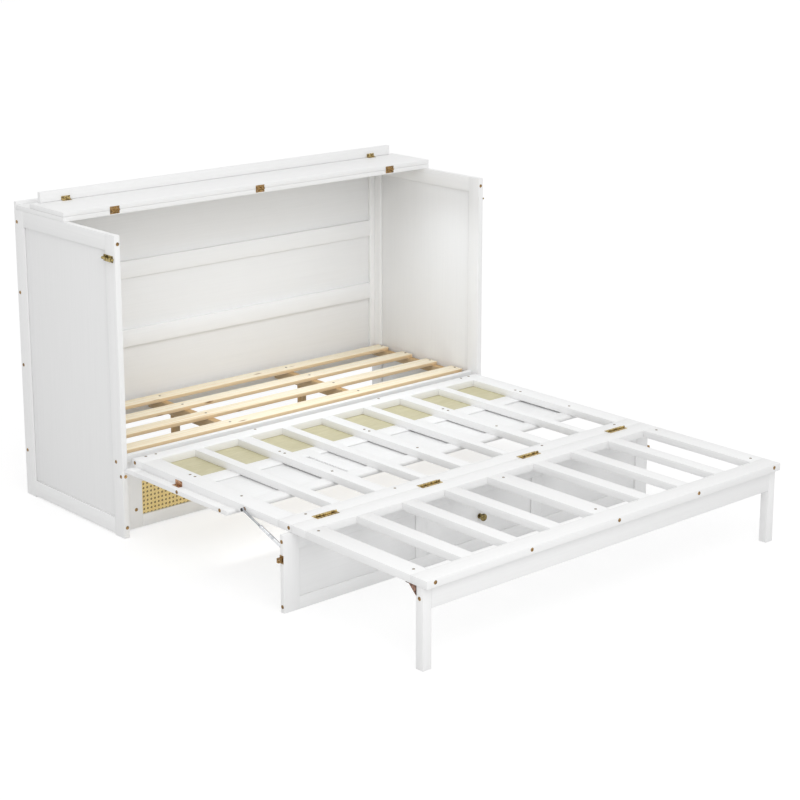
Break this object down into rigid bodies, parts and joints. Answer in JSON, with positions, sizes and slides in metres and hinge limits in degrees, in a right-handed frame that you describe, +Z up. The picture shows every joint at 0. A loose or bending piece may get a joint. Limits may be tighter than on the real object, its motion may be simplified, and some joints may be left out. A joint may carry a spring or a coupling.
{
  "type": "wall bed",
  "caption": "Low cabinet wall bed with a slatted deck, a fold-out middle section on a standing front panel, and a folding foot section on legs.",
  "frame": {"origin": "on the floor, midway between the sides and between the cabinet's rear and the foot end", "axes": "+Z up, +Y from the foot end to the cabinet's rear, +X to the right seen from the foot"},
  "size_m": [1.6748, 2.088, 1.106],
  "materials": {
    "white_paint": "white paint on wood",
    "pine": "bare planed pine",
    "cane": "woven cane",
    "backing": "thin board, khaki face",
    "brass": "yellow zinc plate",
    "steel": "bright zinc plate"
  },
  "bodies": {
    "cabinet": {"left_side_frame": "white_paint", "left_side_panel": "white_paint", "right_side_frame": "white_paint", "right_side_panel": "white_paint", "back_frame": "white_paint", "back_panel": "white_paint", "top_board": "white_paint", "back_gallery": "white_paint", "base_frame": "white_paint", "base_cane": "cane", "base_backing": "backing", "deck_front_rail": "white_paint", "deck_ledgers": "pine", "deck_bearers": "pine", "deck_posts": "pine", "deck_slats": "pine", "pivot_arms": "steel", "top_hinge_leaves": "brass", "top_hinge_pins": "brass", "latch_barrels": "brass"},
    "flap": {"top_flap": "white_paint", "flap_hinge_leaves": "brass", "lip_hinge_flap_leaves": "brass", "lip_hinge_pins": "brass"},
    "lip": {"lip_strip": "white_paint", "lip_hinge_leaves": "brass"},
    "middle": {"mid_frame": "white_paint", "decor_frame": "white_paint", "decor_fields": "white_paint", "decor_cane": "cane", "decor_backing": "backing", "pivot_clevises": "steel", "pivot_pins": "steel", "corner_angles": "brass", "strut_studs": "steel", "fold_hinge_mid_leaves": "brass", "fold_hinge_pins": "brass", "leg_hinge_rail_leaves": "brass", "leg_hinge_pins": "brass"},
    "leg_panel": {"leg_panel_frame": "white_paint", "leg_panel_fields": "white_paint", "pull_knob": "brass", "bolt_keepers": "brass", "leg_hinge_panel_leaves": "brass", "strut_feet": "steel"},
    "foot": {"foot_frame": "white_paint", "fold_hinge_foot_leaves": "brass", "stand_hinge_rail_leaves": "brass", "stand_hinge_pins": "brass", "stand_brackets": "brass"},
    "leg_frame": {"left_leg": "white_paint", "right_leg": "white_paint", "apron": "white_paint", "stand_hinge_leg_leaves": "brass"},
    "left_bolt": {"left_latch_bolt": "brass"},
    "right_bolt": {"right_latch_bolt": "brass"},
    "left_rod": {"left_strut_rod": "steel"},
    "left_cylinder": {"left_strut_cylinder": "steel"},
    "right_rod": {"right_strut_rod": "steel"},
    "right_cylinder": {"right_strut_cylinder": "steel"}
  },
  "joints": [
    {"name": "bed_fold", "type": "hinge", "parent": "cabinet", "child": "middle", "pos_m": [0, 0.3896, 0.2229], "axis": [-1, 0, 0], "range_deg": [0, 90]},
    {"name": "foot_fold", "type": "hinge", "parent": "middle", "child": "foot", "pos_m": [0, -0.436, 0.2807], "axis": [-1, 0, 0], "range_deg": [0, 180]},
    {"name": "leg_panel_fold", "type": "hinge", "parent": "middle", "child": "leg_panel", "pos_m": [0, -0.4198, 0.2493], "axis": [1, 0, 0], "range_deg": [0, 90]},
    {"name": "leg_frame_fold", "type": "hinge", "parent": "foot", "child": "leg_frame", "pos_m": [0, -0.9928, 0.2493], "axis": [1, 0, 0], "range_deg": [0, 90]},
    {"name": "flap_fold", "type": "hinge", "parent": "cabinet", "child": "flap", "pos_m": [0, 0.7213, 1.0527], "axis": [1, 0, 0], "range_deg": [0, 180]},
    {"name": "lip_fold", "type": "hinge", "parent": "flap", "child": "lip", "pos_m": [0, 0.9173, 1.0718], "axis": [1, 0, 0], "range_deg": [0, 90]},
    {"name": "left_bolt_slide", "type": "slide", "parent": "cabinet", "child": "left_bolt", "axis": [0, -1, 0], "range_m": [0, 0.022]},
    {"name": "right_bolt_slide", "type": "slide", "parent": "cabinet", "child": "right_bolt", "axis": [0, -1, 0], "range_m": [0, 0.022]},
    {"name": "left_strut_swing", "type": "hinge", "parent": "leg_panel", "child": "left_cylinder", "pos_m": [-0.79675, -0.408, 0.196], "axis": [-1, 0, 0], "range_deg": [0, 107.37]},
    {"name": "left_strut_slide", "type": "slide", "parent": "left_cylinder", "child": "left_rod", "axis": [0, -0.9449, -0.3274], "range_m": [0, 0.05322]},
    {"name": "right_strut_swing", "type": "hinge", "parent": "leg_panel", "child": "right_cylinder", "pos_m": [0.79675, -0.408, 0.196], "axis": [-1, 0, 0], "range_deg": [0, 107.37]},
    {"name": "right_strut_slide", "type": "slide", "parent": "right_cylinder", "child": "right_rod", "axis": [0, -0.9449, -0.3274], "range_m": [0, 0.05322]}
  ],
  "couplings": [
    {"joint": "left_strut_swing", "follows": "leg_panel_fold", "ratio": 1.1929},
    {"joint": "left_strut_slide", "follows": "leg_panel_fold", "m_per_rad": 0.033875},
    {"joint": "right_strut_swing", "follows": "leg_panel_fold", "ratio": 1.1929},
    {"joint": "right_strut_slide", "follows": "leg_panel_fold", "m_per_rad": 0.033875}
  ]
}
